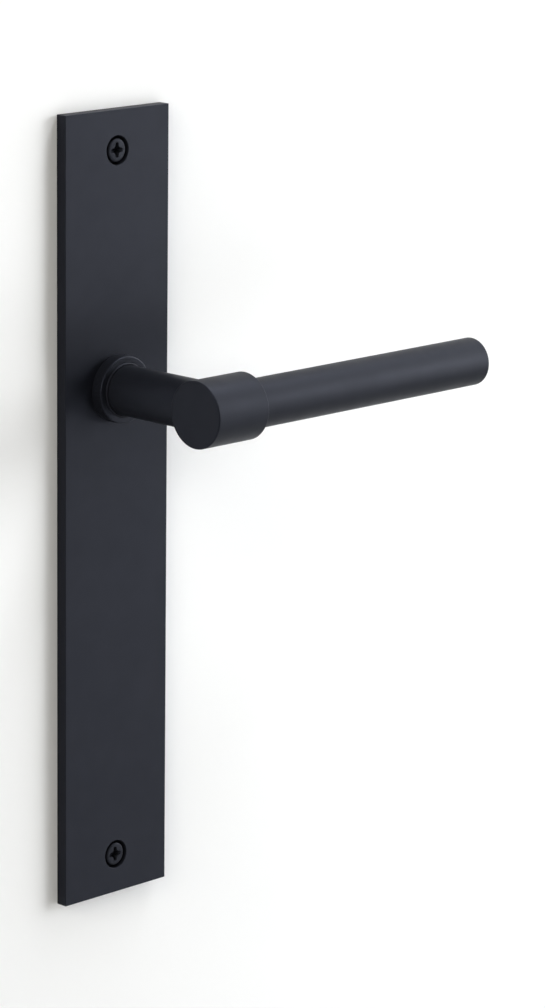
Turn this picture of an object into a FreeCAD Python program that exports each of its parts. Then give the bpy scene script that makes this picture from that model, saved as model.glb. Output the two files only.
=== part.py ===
"""Door lever handle on a long backplate, as a parametric FreeCAD document.

The frame: the origin is where the spindle's axis meets the plate's back face. X runs along the
lever to its free end, Z is up, and the front, where the hand is, faces -Y. All sizes are in
millimetres and are held in the spreadsheet called Dims.
"""

import FreeCAD, Part
import os
import Sketcher
from FreeCAD import Placement, Rotation, Vector

DIMENSIONS = {
    # backplate
    "plate_height": 260,
    "plate_width": 45,
    "plate_thickness": 4,
    "plate_rise": 90,
    "plate_edge_radius": 0.2,
    "recess_radius": 20,
    "recess_depth": 1.7,
    "collar_seat_radius": 10.05,
    # fixing screws
    "screw_inset": 13,
    "counterbore_diameter": 9.5,
    "counterbore_depth": 2.4,
    "clearance_hole_diameter": 4.5,
    "screw_head_radius": 3.75,
    "screw_head_height": 2.2,
    "screw_head_rounding": 0.9,
    "screw_waist_radius": 1.75,
    "screw_shank_radius": 2,
    "screw_shank_length": 6,
    "screw_root_radius": 1.5,
    "screw_step_length": 0.5,
    "screw_length": 30,
    "screw_tip_length": 4,
    "cross_width": 1.1,
    "cross_span": 4.7,
    "cross_depth": 1.5,
    # collar and its bush
    "collar_radius": 11,
    "collar_height": 4.2,
    "collar_spigot_radius": 10,
    "collar_bore_radius": 8.95,
    "edge_break": 0.4,
    "bush_bore_radius": 8.25,
    "bush_lip": 0.45,
    "bush_lip_bevel": 0.35,
    # neck
    "neck_radius": 8.2,
    "neck_front": 46.5,
    "neck_shoulder": 1,
    "tail_radius": 7,
    "tail_flats": 11.6,
    "tail_end": 13.5,
    "groove_radius": 6.7,
    "groove_start": 11,
    "groove_width": 1.1,
    # lever
    "lever_reach": 51,
    "ferrule_radius": 10.9,
    "ferrule_length": 22,
    "grip_radius": 8,
    "grip_end": 118.5,
    "grip_edge_radius": 0.8,
    "grip_seat_radius": 8.15,
    "grip_seat_depth": 1,
    # studs and grub screw
    "stud_radius": 4,
    "stud_length": 20,
    "stud_socket_across": 4,
    "stud_socket_depth": 4,
    "stud_bevel": 0.5,
    "stud_hole_extra": 0.5,
    "thread_play": 0.05,
    "neck_stud_front": 56,
    "grip_stud_start": 4.1,
    "grub_radius": 2.5,
    "grub_length": 4,
    "grub_reach": 18,
    "grub_socket_across": 2.5,
    "grub_socket_depth": 2,
    # spindle
    "spindle_size": 8,
    "spindle_length": 100,
    "spindle_start": 29.5,
    "spindle_edge": 0.5,
    "spindle_hole_size": 8.1,
    "spindle_hole_start": 30,
    # spring housing
    "housing_flange_radius": 19.8,
    "housing_back_gap": 0.2,
    "housing_radius": 14,
    "housing_bore_radius": 12.8,
    "housing_end": 9.2,
    "housing_wall": 1.2,
    "tail_bearing_radius": 7.06,
    "stop_width": 3,
    "stop_inner": 11.4,
    "stop_outer": 12.9,
    "stop_back": 1,
    "stop_gap": 0.1,
    "travel": 40,
    # housing screws
    "small_screw_circle": 17,
    "small_screw_radius": 1.25,
    "small_screw_head_radius": 2.35,
    "small_screw_length": 3.1,
    "small_screw_hole_depth": 1.8,
    "small_screw_bevel": 0.4,
    "small_cross_depth": 0.8,
    "small_cross_width": 0.5,
    "small_cross_span": 2.4,
    # driver
    "driver_front": 0.95,
    "driver_flange_back": 0.85,
    "driver_back": 7.9,
    "driver_flange_radius": 11.2,
    "driver_hub_radius": 8.4,
    "driver_bore_radius": 7.05,
    "driver_flats": 11.7,
    "key_half_height": 4.1,
    "key_overlap": 0.2,
    "lug_hub_gap": 1,
    "lug_half_width": 1.7,
    "lug_tip": 12.4,
    # return spring
    "wire_radius": 0.9,
    "coil_radius": 9.7,
    "coil_start": 1.8,
    "coil_pitch": 1.9,
    "coil_turns": 2.5,
    "leg_hole_radius": 1,
    "leg_tip_gap": 0.15,
    # washers and circlip behind the housing
    "washer_start": 9.25,
    "washer_thickness": 0.8,
    "washer_bore_radius": 7.1,
    "washer_radius": 10.2,
    "curved_start": 10.1,
    "curved_thickness": 0.4,
    "curved_bend_radius": 92,
    "curved_radius": 9.6,
    "curved_blank_length": 4,
    "circlip_start": 11.03,
    "circlip_thickness": 1,
    "circlip_radius": 8.5,
    "circlip_offset": 0.4,
    "circlip_bore_radius": 6.75,
    "circlip_gap": 2.6,
    "circlip_lug_radius": 1.7,
    "circlip_lug_x": 2.9,
    "circlip_lug_drop": 8,
    "circlip_eye_radius": 0.85,
}

# Places that several pieces share: along Y, and the heights of the two fixing screws
PLATE_FRONT = "-Dims.plate_thickness"
COLLAR_FRONT = "-(Dims.plate_thickness + Dims.collar_height)"
RECESS_FLOOR = "-Dims.recess_depth"
HEAD_SEAT = "-(Dims.plate_thickness - Dims.counterbore_depth)"
SCREW_TOP = "Dims.plate_rise - Dims.screw_inset"
SCREW_BOTTOM = "Dims.plate_rise - Dims.plate_height + Dims.screw_inset"

HOUSING_SCREW_COUNT = 3
SAME_PLACE = 1e-6
SMALLEST_CUT = 1e-3

doc = FreeCAD.newDocument("door_lever_handle")
sub_parts = []


def make_sheet():
    """The spreadsheet of driving dimensions, one alias a row."""
    sheet = doc.addObject("Spreadsheet::Sheet", "Dims")
    for row, (alias, value) in enumerate(DIMENSIONS.items(), start=1):
        sheet.set(f"A{row}", alias)
        sheet.set(f"B{row}", str(value))
        sheet.setAlias(f"B{row}", alias)
    doc.recompute()


# ---------------------------------------------------------------- bodies and sketches


def new_body(label):
    body = doc.addObject("PartDesign::Body", label)
    sub_parts.append(body)
    return body


def plane_sketch(body, name, role, offset="0", turn="0"):
    """A sketch on one of the body's origin planes, moved along its normal and turned about it.

    On XZ_Plane the sketch's x is X and its y is Z, and its normal, and so the offset, is -Y.
    """
    plane = [item for item in body.Origin.OriginFeatures if item.Role == role][0]
    sketch = body.newObject("Sketcher::SketchObject", name)
    sketch.AttachmentSupport = [(plane, "")]
    sketch.MapMode = "FlatFace"
    angle = sketch.evalExpression(turn)
    shift = sketch.evalExpression(offset)
    sketch.AttachmentOffset = Placement(Vector(0, 0, shift), Rotation(Vector(0, 0, 1), angle))
    sketch.setExpression("AttachmentOffset.Base.z", offset)
    if turn != "0":
        sketch.setExpression("AttachmentOffset.Rotation.Angle", turn)
    return sketch


def hold(sketch, kind, geometry, point, expression):
    """Ties one coordinate of a point, measured from the sketch's origin, to an expression."""
    value = sketch.evalExpression(expression)
    index = sketch.addConstraint(Sketcher.Constraint(kind, -1, 1, geometry, point, value))
    sketch.setExpression(f"Constraints[{index}]", expression)


def add_outline(sketch, corners):
    """A closed outline of straight lines through corners, each an (x, y) pair of expressions."""
    places = [Vector(sketch.evalExpression(x), sketch.evalExpression(y), 0) for x, y in corners]
    first = sketch.GeometryCount
    count = len(corners)
    for index in range(count):
        following = places[(index + 1) % count]
        sketch.addGeometry(Part.LineSegment(places[index], following))
    for index in range(count):
        following = first + (index + 1) % count
        sketch.addConstraint(Sketcher.Constraint("Coincident", first + index, 2, following, 1))
    for index, (x, y) in enumerate(corners):
        hold(sketch, "DistanceX", first + index, 1, x)
        hold(sketch, "DistanceY", first + index, 1, y)


def add_rectangle(sketch, left, right, low, high):
    add_outline(sketch, [(left, low), (right, low), (right, high), (left, high)])


def add_circle(sketch, radius, x="0", y="0"):
    centre = Vector(sketch.evalExpression(x), sketch.evalExpression(y), 0)
    size = sketch.evalExpression(radius)
    circle = sketch.addGeometry(Part.Circle(centre, Vector(0, 0, 1), size))
    index = sketch.addConstraint(Sketcher.Constraint("Radius", circle, size))
    sketch.setExpression(f"Constraints[{index}]", radius)
    hold(sketch, "DistanceX", circle, 3, x)
    hold(sketch, "DistanceY", circle, 3, y)


def add_hexagon(sketch, across):
    """A regular hexagon about the sketch's origin, from its size across the flats."""
    corner = f"{across} / 2 / cos(30)"
    add_outline(sketch, [(f"{corner} * cos({60 * k})", f"{corner} * sin({60 * k})") for k in range(6)])


# ---------------------------------------------------------------- features


def turned(label, outline, axis="V_Axis"):
    """A body turned from an outline on the XY plane, about Y (V_Axis) or about X (H_Axis)."""
    body = new_body(label)
    sketch = plane_sketch(body, label + "_outline", "XY_Plane")
    add_outline(sketch, outline)
    turn = body.newObject("PartDesign::Revolution", label + "_turn")
    turn.Profile = sketch
    turn.ReferenceAxis = (sketch, [axis])
    turn.Angle = 360
    return body


def pad(body, name, sketch, length):
    feature = body.newObject("PartDesign::Pad", name)
    feature.Profile = sketch
    feature.setExpression("Length", length)
    return feature


def pocket(body, name, sketch, depth=None, along_normal=False):
    """Cuts against the sketch's normal, or along it, to a depth or right through."""
    feature = body.newObject("PartDesign::Pocket", name)
    feature.Profile = sketch
    feature.Reversed = along_normal
    if depth is None:
        feature.Type = "ThroughAll"
    else:
        feature.setExpression("Length", depth)
    return feature


def around_spindle(body, feature, count):
    """Repeats a feature evenly about the body's Y axis."""
    axis = [item for item in body.Origin.OriginFeatures if item.Role == "Y_Axis"][0]
    pattern = body.newObject("PartDesign::PolarPattern", feature.Name + "_pattern")
    pattern.Originals = [feature]
    pattern.Axis = (axis, [""])
    pattern.Angle = 360
    pattern.Occurrences = count
    body.Tip = pattern


def round_edges(body, name, radius, wanted):
    """Fillets the edges of the body so far for which wanted(edge) is true."""
    doc.recompute()
    base = body.Tip
    names = [f"Edge{n}" for n, edge in enumerate(base.Shape.Edges, start=1) if wanted(edge)]
    fillet = body.newObject("PartDesign::Fillet", name)
    fillet.Base = (base, names)
    fillet.setExpression("Radius", radius)


def round_rim(body, name, radius, rim_radius, axis, where):
    """Fillets the full circle of radius rim_radius that lies at a place along X (0) or Y (1)."""
    wanted_radius = body.evalExpression(rim_radius)
    wanted_place = body.evalExpression(where)

    def is_rim(edge):
        if not edge.Closed or not isinstance(edge.Curve, Part.Circle):
            return False
        off_radius = abs(edge.Curve.Radius - wanted_radius)
        off_place = abs(edge.Curve.Center[axis] - wanted_place)
        return max(off_radius, off_place) < SAME_PLACE

    round_edges(body, name, radius, is_rim)


def place(body, **coordinates):
    """Moves a body to a place whose x, y and z are expressions."""
    for axis, expression in coordinates.items():
        body.setExpression(f"Placement.Base.{axis}", expression)


# ---------------------------------------------------------------- plate side


def make_backplate():
    """Flat plate, counterbored at both ends, with a seat for the collar and a recess behind it."""
    body = new_body("backplate")
    outline = plane_sketch(body, "plate_outline", "XZ_Plane")
    half = "Dims.plate_width / 2"
    foot = "Dims.plate_rise - Dims.plate_height"
    add_rectangle(outline, f"-{half}", half, foot, "Dims.plate_rise")
    pad(body, "plate_pad", outline, "Dims.plate_thickness")

    front = -DIMENSIONS["plate_thickness"]

    def outer_edge(edge):
        ends = [vertex.Point for vertex in edge.Vertexes]
        in_front = all(abs(point.y - front) < SAME_PLACE for point in ends)
        through = abs(ends[0].y - ends[1].y) > SAME_PLACE
        return in_front or through

    round_edges(body, "plate_edges", "Dims.plate_edge_radius", outer_edge)

    centres = plane_sketch(body, "screw_centres", "XZ_Plane", "Dims.plate_thickness")
    for height in (SCREW_TOP, SCREW_BOTTOM):
        add_circle(centres, "Dims.clearance_hole_diameter / 2", "0", height)
    doc.recompute()
    holes = body.newObject("PartDesign::Hole", "screw_holes")
    holes.Profile = centres
    holes.DepthType = "ThroughAll"
    holes.HoleCutType = "Counterbore"
    holes.setExpression("Diameter", "Dims.clearance_hole_diameter")
    holes.setExpression("HoleCutDiameter", "Dims.counterbore_diameter")
    holes.setExpression("HoleCutDepth", "Dims.counterbore_depth")

    seat = plane_sketch(body, "collar_seat_circle", "XZ_Plane", "Dims.plate_thickness")
    add_circle(seat, "Dims.collar_seat_radius")
    pocket(body, "collar_seat", seat)

    recess = plane_sketch(body, "recess_circle", "XZ_Plane")
    add_circle(recess, "Dims.recess_radius")
    pocket(body, "recess", recess, "Dims.recess_depth", along_normal=True)

    tapped = plane_sketch(body, "tapped_circle", "XZ_Plane", "Dims.recess_depth", turn="90")
    add_circle(tapped, "Dims.small_screw_radius + Dims.thread_play", "Dims.small_screw_circle")
    hole = pocket(body, "tapped_hole", tapped, "Dims.small_screw_hole_depth", along_normal=True)
    around_spindle(body, hole, HOUSING_SCREW_COUNT)


def make_collar():
    """Boss around the neck: a flange on the plate's face and a spigot through the plate."""
    inner = "Dims.collar_bore_radius"
    outer = "Dims.collar_radius"
    spigot = "Dims.collar_spigot_radius"
    body = turned("collar", [
        (inner, COLLAR_FRONT),
        (outer, COLLAR_FRONT),
        (outer, PLATE_FRONT),
        (spigot, PLATE_FRONT),
        (spigot, RECESS_FLOOR),
        (inner, RECESS_FLOOR),
    ])
    round_rim(body, "collar_rim", "Dims.edge_break", outer, 1, COLLAR_FRONT)


def make_bearing_bush():
    """Plain bush, pressed in the collar, that the neck turns in. Its bevelled lip stands proud."""
    bore = "Dims.bush_bore_radius"
    outer = "Dims.collar_bore_radius"
    bevel = "Dims.bush_lip_bevel"
    lip = f"{COLLAR_FRONT} - Dims.bush_lip"
    turned("bearing_bush", [
        (bore, lip),
        (f"{outer} - {bevel}", lip),
        (outer, f"{lip} + {bevel}"),
        (outer, RECESS_FLOOR),
        (bore, RECESS_FLOOR),
    ])


def make_spring_housing():
    """Cup behind the plate: flange in the recess, two stops inside, rear bearing in its end wall."""
    bore = "Dims.housing_bore_radius"
    flange = "Dims.housing_flange_radius"
    flange_back = "-Dims.housing_back_gap"
    floor = "Dims.housing_end - Dims.housing_wall"
    body = turned("spring_housing", [
        (bore, RECESS_FLOOR),
        (flange, RECESS_FLOOR),
        (flange, flange_back),
        ("Dims.housing_radius", flange_back),
        ("Dims.housing_radius", "Dims.housing_end"),
        ("Dims.tail_bearing_radius", "Dims.housing_end"),
        ("Dims.tail_bearing_radius", floor),
        (bore, floor),
    ])

    near = "Dims.lug_half_width + Dims.stop_gap"
    far = f"{near} + Dims.stop_width"
    stops = {
        "rest_stop": ("0", f"-({far})", f"-({near})"),
        "end_stop": ("-Dims.travel", near, far),
    }
    for name, (turn, left, right) in stops.items():
        sketch = plane_sketch(body, name + "_outline", "XZ_Plane", "-Dims.stop_back", turn)
        add_rectangle(sketch, left, right, "Dims.stop_inner", "Dims.stop_outer")
        pad(body, name, sketch, "Dims.stop_back + Dims.recess_depth")

    leg = plane_sketch(body, "rear_leg_circle", "XZ_Plane", f"-({floor})")
    add_circle(leg, "Dims.leg_hole_radius", "-Dims.coil_radius")
    pocket(body, "rear_leg_hole", leg)

    centre = plane_sketch(body, "small_screw_centre", "XZ_Plane", "Dims.housing_back_gap", turn="90")
    add_circle(centre, "Dims.small_screw_radius", "Dims.small_screw_circle")
    doc.recompute()
    hole = body.newObject("PartDesign::Hole", "small_screw_hole")
    hole.Profile = centre
    hole.Reversed = True
    hole.DepthType = "ThroughAll"
    hole.HoleCutType = "Countersink"
    hole.HoleCutCountersinkAngle = 90
    hole.setExpression("Diameter", "2 * Dims.small_screw_radius + 2 * Dims.thread_play")
    hole.setExpression("HoleCutDiameter", "2 * Dims.small_screw_head_radius + 4 * Dims.thread_play")
    around_spindle(body, hole, HOUSING_SCREW_COUNT)


def cut_cross(body, label, face, depth, width, span):
    """A cross recess in a screw head that faces along -Y or +Y, as two crossed slots."""
    sign, offset = face
    for slot, turn in (("upright", "90"), ("level", "0")):
        sketch = plane_sketch(body, f"{label}_{slot}", "XZ_Plane", offset, turn)
        add_rectangle(sketch, f"-{span} / 2", f"{span} / 2", f"-{width} / 2", f"{width} / 2")
        pocket(body, f"{label}_{slot}_slot", sketch, depth, along_normal=sign > 0)


def make_housing_screws():
    """Three small countersunk screws that hold the housing in the plate's recess."""
    head = "Dims.small_screw_head_radius"
    shank = "Dims.small_screw_radius"
    length = "Dims.small_screw_length"
    bevel = "Dims.small_screw_bevel"
    for number in range(HOUSING_SCREW_COUNT):
        angle = 90 + 360 / HOUSING_SCREW_COUNT * number
        label = f"housing_screw_{number + 1}"
        body = turned(label, [
            ("0", "0"),
            (head, "0"),
            (shank, f"{shank} - {head}"),
            (shank, f"{bevel} - {length}"),
            (f"{shank} - {bevel}", f"-{length}"),
            ("0", f"-{length}"),
        ])
        cut_cross(body, label, (1, "0"), "Dims.small_cross_depth", "Dims.small_cross_width",
                  "Dims.small_cross_span")
        place(
            body,
            x=f"Dims.small_screw_circle * cos({angle})",
            y="-Dims.housing_back_gap - Dims.thread_play",
            z=f"Dims.small_screw_circle * sin({angle})",
        )


def make_return_spring():
    """Torsion spring around the driver's hub, with one leg to the driver and one to the housing."""
    body = new_body("return_spring")
    section = plane_sketch(body, "wire_section", "XY_Plane")
    add_circle(section, "Dims.wire_radius", "Dims.coil_radius", "Dims.coil_start")
    coil = body.newObject("PartDesign::AdditiveHelix", "coil")
    coil.Profile = section
    coil.ReferenceAxis = (section, ["V_Axis"])
    coil.Mode = "pitch-turns-angle"
    coil.LeftHanded = True
    coil.setExpression("Pitch", "Dims.coil_pitch")
    coil.setExpression("Turns", "Dims.coil_turns")

    coil_end = "Dims.coil_start + Dims.coil_pitch * Dims.coil_turns"
    front_tip = "-(Dims.driver_front - Dims.leg_tip_gap)"
    rear_tip = "Dims.housing_end - Dims.leg_tip_gap"
    legs = {
        "front_leg": ("Dims.coil_radius", "Dims.coil_start", front_tip, "Dims.coil_start"),
        "rear_leg": ("-Dims.coil_radius", coil_end, rear_tip, rear_tip),
    }
    for name, (x, bend, tip, back) in legs.items():
        elbow = body.newObject("PartDesign::AdditiveSphere", name + "_bend")
        elbow.setExpression("Radius", "Dims.wire_radius")
        place(elbow, x=x, y=bend)
        circle = plane_sketch(body, name + "_circle", "XZ_Plane", f"-({back})")
        add_circle(circle, "Dims.wire_radius", x)
        pad(body, name, circle, f"abs({tip} - ({bend}))")


def make_fixing_screws():
    """Pan-head wood screws: the waist is in the plate's hole, the plain shank starts behind it."""
    head = "Dims.screw_head_radius"
    waist = "Dims.screw_waist_radius"
    shank = "Dims.screw_shank_radius"
    root = "Dims.screw_root_radius"
    head_top = f"{HEAD_SEAT} - Dims.screw_head_height"
    tip = f"{HEAD_SEAT} + Dims.screw_length"
    for label, height in (("fixing_screw_top", SCREW_TOP), ("fixing_screw_bottom", SCREW_BOTTOM)):
        body = turned(label, [
            ("0", head_top),
            (head, head_top),
            (head, HEAD_SEAT),
            (waist, HEAD_SEAT),
            (waist, "0"),
            (shank, "0"),
            (shank, "Dims.screw_shank_length"),
            (root, "Dims.screw_shank_length + Dims.screw_step_length"),
            (root, f"{tip} - Dims.screw_tip_length"),
            ("0", tip),
        ])
        round_rim(body, label + "_head", "Dims.screw_head_rounding", head, 1, head_top)
        cut_cross(body, label, (-1, f"-({head_top})"), "Dims.cross_depth", "Dims.cross_width",
                  "Dims.cross_span")
        place(body, z=height)


# ---------------------------------------------------------------- lever side


def make_neck():
    """Round shank: socket end in the ferrule, body in the bush, flatted tail through the housing."""
    neck = "Dims.neck_radius"
    tail = "Dims.tail_radius"
    front = "-Dims.neck_front"
    shoulder = "-Dims.neck_shoulder"
    groove = "Dims.groove_radius"
    groove_end = "Dims.groove_start + Dims.groove_width"
    broken = "Dims.edge_break"
    body = turned("neck", [
        ("0", front),
        (f"{neck} - {broken}", front),
        (neck, f"{front} + {broken}"),
        (neck, shoulder),
        (tail, shoulder),
        (tail, "Dims.groove_start"),
        (groove, "Dims.groove_start"),
        (groove, groove_end),
        (tail, groove_end),
        (tail, f"Dims.tail_end - {broken}"),
        (f"{tail} - {broken}", "Dims.tail_end"),
        ("0", "Dims.tail_end"),
    ])

    flats = plane_sketch(body, "flats_outline", "XZ_Plane", "Dims.neck_shoulder")
    for left, right in (("Dims.tail_flats / 2", neck), (f"-{neck}", "-Dims.tail_flats / 2")):
        add_rectangle(flats, left, right, f"-{neck}", neck)
    pocket(body, "flats", flats)

    square = plane_sketch(body, "spindle_hole_outline", "XZ_Plane", "Dims.spindle_hole_start")
    half = "Dims.spindle_hole_size / 2"
    add_rectangle(square, f"-{half}", half, f"-{half}", half)
    pocket(body, "spindle_hole", square)

    stud_hole_end = "Dims.neck_stud_front - Dims.stud_length - Dims.stud_hole_extra"
    stud = plane_sketch(body, "stud_hole_circle", "XZ_Plane", stud_hole_end)
    add_circle(stud, "Dims.stud_radius + Dims.thread_play")
    pocket(body, "stud_hole", stud, along_normal=True)

    grub = plane_sketch(body, "grub_hole_circle", "XY_Plane")
    add_circle(grub, "Dims.grub_radius + Dims.thread_play", "0", "-Dims.grub_reach")
    pocket(body, "grub_hole", grub)


def make_ferrule():
    """Short cross cylinder that joins the neck and the grip. It is made about its own centre."""
    radius = "Dims.ferrule_radius"
    end = "Dims.ferrule_length / 2"
    seat = "Dims.grip_seat_radius"
    seat_floor = f"{end} - Dims.grip_seat_depth"
    body = turned("ferrule", [
        (f"-{end}", "0"),
        (f"-{end}", radius),
        (end, radius),
        (end, seat),
        (seat_floor, seat),
        (seat_floor, "0"),
    ], axis="H_Axis")
    round_rim(body, "closed_rim", "Dims.edge_break", radius, 0, f"-{end}")
    round_rim(body, "seated_rim", "Dims.edge_break", radius, 0, end)

    socket_floor = "Dims.lever_reach - Dims.neck_front"
    socket = plane_sketch(body, "neck_socket_circle", "XZ_Plane", f"-({socket_floor})")
    add_circle(socket, "Dims.neck_radius")
    pocket(body, "neck_socket", socket)

    front_end = "Dims.neck_stud_front - Dims.lever_reach + Dims.stud_hole_extra"
    front_hole = plane_sketch(body, "neck_stud_circle", "XZ_Plane", f"-({socket_floor})")
    add_circle(front_hole, "Dims.stud_radius + Dims.thread_play")
    pocket(body, "neck_stud_hole", front_hole, f"{socket_floor} + {front_end}", along_normal=True)

    side_hole = plane_sketch(body, "grip_stud_circle", "YZ_Plane", seat_floor)
    add_circle(side_hole, "Dims.stud_radius + Dims.thread_play")
    pocket(body, "grip_stud_hole", side_hole, seat_floor)
    place(body, y="-Dims.lever_reach")


def make_grip():
    """Solid round bar with an eased free end and a tapped hole in its seated end."""
    radius = "Dims.grip_radius"
    start = "Dims.ferrule_length / 2 - Dims.grip_seat_depth"
    end = "Dims.grip_end"
    body = turned("grip", [(start, "0"), (start, radius), (end, radius), (end, "0")], axis="H_Axis")
    round_rim(body, "free_rim", "Dims.grip_edge_radius", radius, 0, end)
    hole = plane_sketch(body, "grip_hole_circle", "YZ_Plane", start)
    add_circle(hole, "Dims.stud_radius + Dims.thread_play")
    depth = f"Dims.grip_stud_start + Dims.stud_length - ({start}) + Dims.stud_hole_extra"
    pocket(body, "grip_hole", hole, depth, along_normal=True)
    place(body, y="-Dims.lever_reach")


def threaded_stud(label, radius, length, socket_across, socket_depth):
    """A headless screw along Y from y = 0 to y = length, with a hexagon socket at y = 0."""
    bevel = "Dims.stud_bevel"
    body = turned(label, [
        ("0", "0"),
        (f"{radius} - {bevel}", "0"),
        (radius, bevel),
        (radius, f"{length} - {bevel}"),
        (f"{radius} - {bevel}", length),
        ("0", length),
    ])
    socket = plane_sketch(body, label + "_hexagon", "XZ_Plane")
    add_hexagon(socket, socket_across)
    pocket(body, label + "_socket", socket, socket_depth)
    return body


def make_studs():
    """The two studs that join neck, ferrule and grip, and the grub screw that holds the spindle."""
    size = ("Dims.stud_radius", "Dims.stud_length", "Dims.stud_socket_across", "Dims.stud_socket_depth")
    neck_stud = threaded_stud("neck_stud", *size)
    place(neck_stud, y="-Dims.neck_stud_front")

    grip_stud = threaded_stud("grip_stud", *size)
    grip_stud.Placement = Placement(Vector(0, 0, 0), Rotation(Vector(0, 0, 1), 90))
    place(grip_stud, x="Dims.grip_stud_start + Dims.stud_length", y="-Dims.lever_reach")

    grub = threaded_stud("spindle_grub_screw", "Dims.grub_radius", "Dims.grub_length",
                         "Dims.grub_socket_across", "Dims.grub_socket_depth")
    grub.Placement = Placement(Vector(0, 0, 0), Rotation(Vector(1, 0, 0), 90))
    place(grub, y="-Dims.grub_reach", z="-Dims.spindle_size / 2 - Dims.grub_length")


def make_spindle():
    """Square bar from inside the neck, through the lock's follower, to the other side's lever."""
    body = new_body("spindle")
    half = "Dims.spindle_size / 2"
    outline = plane_sketch(body, "spindle_outline", "XZ_Plane", "Dims.spindle_start - Dims.spindle_length")
    add_rectangle(outline, f"-{half}", half, f"-{half}", half)
    bar = pad(body, "spindle_bar", outline, "Dims.spindle_length")
    doc.recompute()
    names = []
    for number, edge in enumerate(bar.Shape.Edges, start=1):
        if edge.Length < DIMENSIONS["spindle_length"] / 2:
            names.append(f"Edge{number}")
    chamfer = body.newObject("PartDesign::Chamfer", "spindle_ends")
    chamfer.Base = (bar, names)
    chamfer.setExpression("Size", "Dims.spindle_edge")


def make_spring_driver():
    """Cam keyed to the neck's tail: a hub inside the spring and a flange with the stop lug."""
    bore = "Dims.driver_bore_radius"
    flange = "Dims.driver_flange_radius"
    hub = "Dims.driver_hub_radius"
    front = "-Dims.driver_front"
    flange_back = "Dims.driver_flange_back"
    body = turned("spring_driver", [
        (bore, front),
        (flange, front),
        (flange, flange_back),
        (hub, flange_back),
        (hub, "Dims.driver_back"),
        (bore, "Dims.driver_back"),
    ])

    keys = plane_sketch(body, "keys_outline", "XZ_Plane", "-Dims.driver_back")
    flat = "Dims.driver_flats / 2"
    outer = f"{bore} + Dims.key_overlap"
    reach = "Dims.key_half_height"
    add_rectangle(keys, flat, outer, f"-{reach}", reach)
    add_rectangle(keys, f"-({outer})", f"-{flat}", f"-{reach}", reach)
    pad(body, "keys", keys, "Dims.driver_back + Dims.driver_front")

    lug = plane_sketch(body, "lug_outline", "XZ_Plane", f"-{flange_back}")
    half = "Dims.lug_half_width"
    add_rectangle(lug, f"-{half}", half, f"{hub} + Dims.lug_hub_gap", "Dims.lug_tip")
    pad(body, "lug", lug, f"Dims.driver_front + {flange_back}")

    leg = plane_sketch(body, "front_leg_circle", "XZ_Plane", "Dims.driver_front")
    add_circle(leg, "Dims.leg_hole_radius", "Dims.coil_radius")
    pocket(body, "front_leg_hole", leg)


def make_thrust_washer():
    """Flat washer that turns against the housing's end wall."""
    start = "Dims.washer_start"
    back = "Dims.washer_start + Dims.washer_thickness"
    bore = "Dims.washer_bore_radius"
    rim = "Dims.washer_radius"
    turned("thrust_washer", [(bore, start), (rim, start), (rim, back), (bore, back)])


def make_spring_washer():
    """Curved washer: a flat ring bent to a large radius about a line along X."""

    def cylinder(name, radius, height, turn_axis, start):
        """A cylinder along Y, or along X, that starts at a place given by expressions."""
        solid = doc.addObject("Part::Cylinder", name)
        solid.setExpression("Radius", radius)
        solid.setExpression("Height", height)
        angle = -90 if turn_axis == Vector(1, 0, 0) else 90
        solid.Placement = Placement(Vector(0, 0, 0), Rotation(turn_axis, angle))
        place(solid, **start)
        return solid

    def difference(name, base, tool):
        cut = doc.addObject("Part::Cut", name)
        cut.Base = base
        cut.Tool = tool
        return cut

    along_y = Vector(1, 0, 0)
    along_x = Vector(0, 1, 0)
    blank = "Dims.curved_blank_length"
    ring_start = {"y": f"Dims.curved_start - {blank} / 4"}
    ring = difference(
        "washer_ring",
        cylinder("washer_rim", "Dims.curved_radius", blank, along_y, ring_start),
        cylinder("washer_bore", "Dims.washer_bore_radius", blank, along_y, ring_start),
    )
    bend_start = {
        "x": "-2 * Dims.curved_radius",
        "y": "Dims.curved_start + Dims.curved_bend_radius",
    }
    width = "4 * Dims.curved_radius"
    inside = "Dims.curved_bend_radius - Dims.curved_thickness"
    shell = difference(
        "bent_sheet",
        cylinder("bend_outside", "Dims.curved_bend_radius", width, along_x, bend_start),
        cylinder("bend_inside", inside, width, along_x, bend_start),
    )
    washer = doc.addObject("Part::Common", "spring_washer")
    washer.Base = ring
    washer.Tool = shell
    sub_parts.append(washer)


def make_circlip():
    """Open retaining ring for the groove: thicker away from its gap, with an eye at each end."""
    body = new_body("circlip")
    back = "-(Dims.circlip_start + Dims.circlip_thickness)"
    disc = plane_sketch(body, "circlip_circle", "XZ_Plane", back)
    add_circle(disc, "Dims.circlip_radius", "0", "Dims.circlip_offset")
    pad(body, "circlip_disc", disc, "Dims.circlip_thickness")
    lugs = plane_sketch(body, "circlip_lug_circles", "XZ_Plane", back)
    eyes = plane_sketch(body, "circlip_eye_circles", "XZ_Plane", "-Dims.circlip_start")
    for side in ("-Dims.circlip_lug_x", "Dims.circlip_lug_x"):
        add_circle(lugs, "Dims.circlip_lug_radius", side, "-Dims.circlip_lug_drop")
        add_circle(eyes, "Dims.circlip_eye_radius", side, "-Dims.circlip_lug_drop")
    pad(body, "circlip_lugs", lugs, "Dims.circlip_thickness")

    bore = plane_sketch(body, "circlip_bore_circle", "XZ_Plane", "-Dims.circlip_start")
    add_circle(bore, "Dims.circlip_bore_radius")
    pocket(body, "circlip_bore", bore)
    gap = plane_sketch(body, "circlip_gap_outline", "XZ_Plane", "-Dims.circlip_start")
    half = "Dims.circlip_gap / 2"
    add_rectangle(gap, f"-{half}", half, "-2 * Dims.circlip_radius", "0")
    pocket(body, "circlip_opening", gap)
    pocket(body, "circlip_eyes", eyes)


# ---------------------------------------------------------------- checks and output


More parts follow.
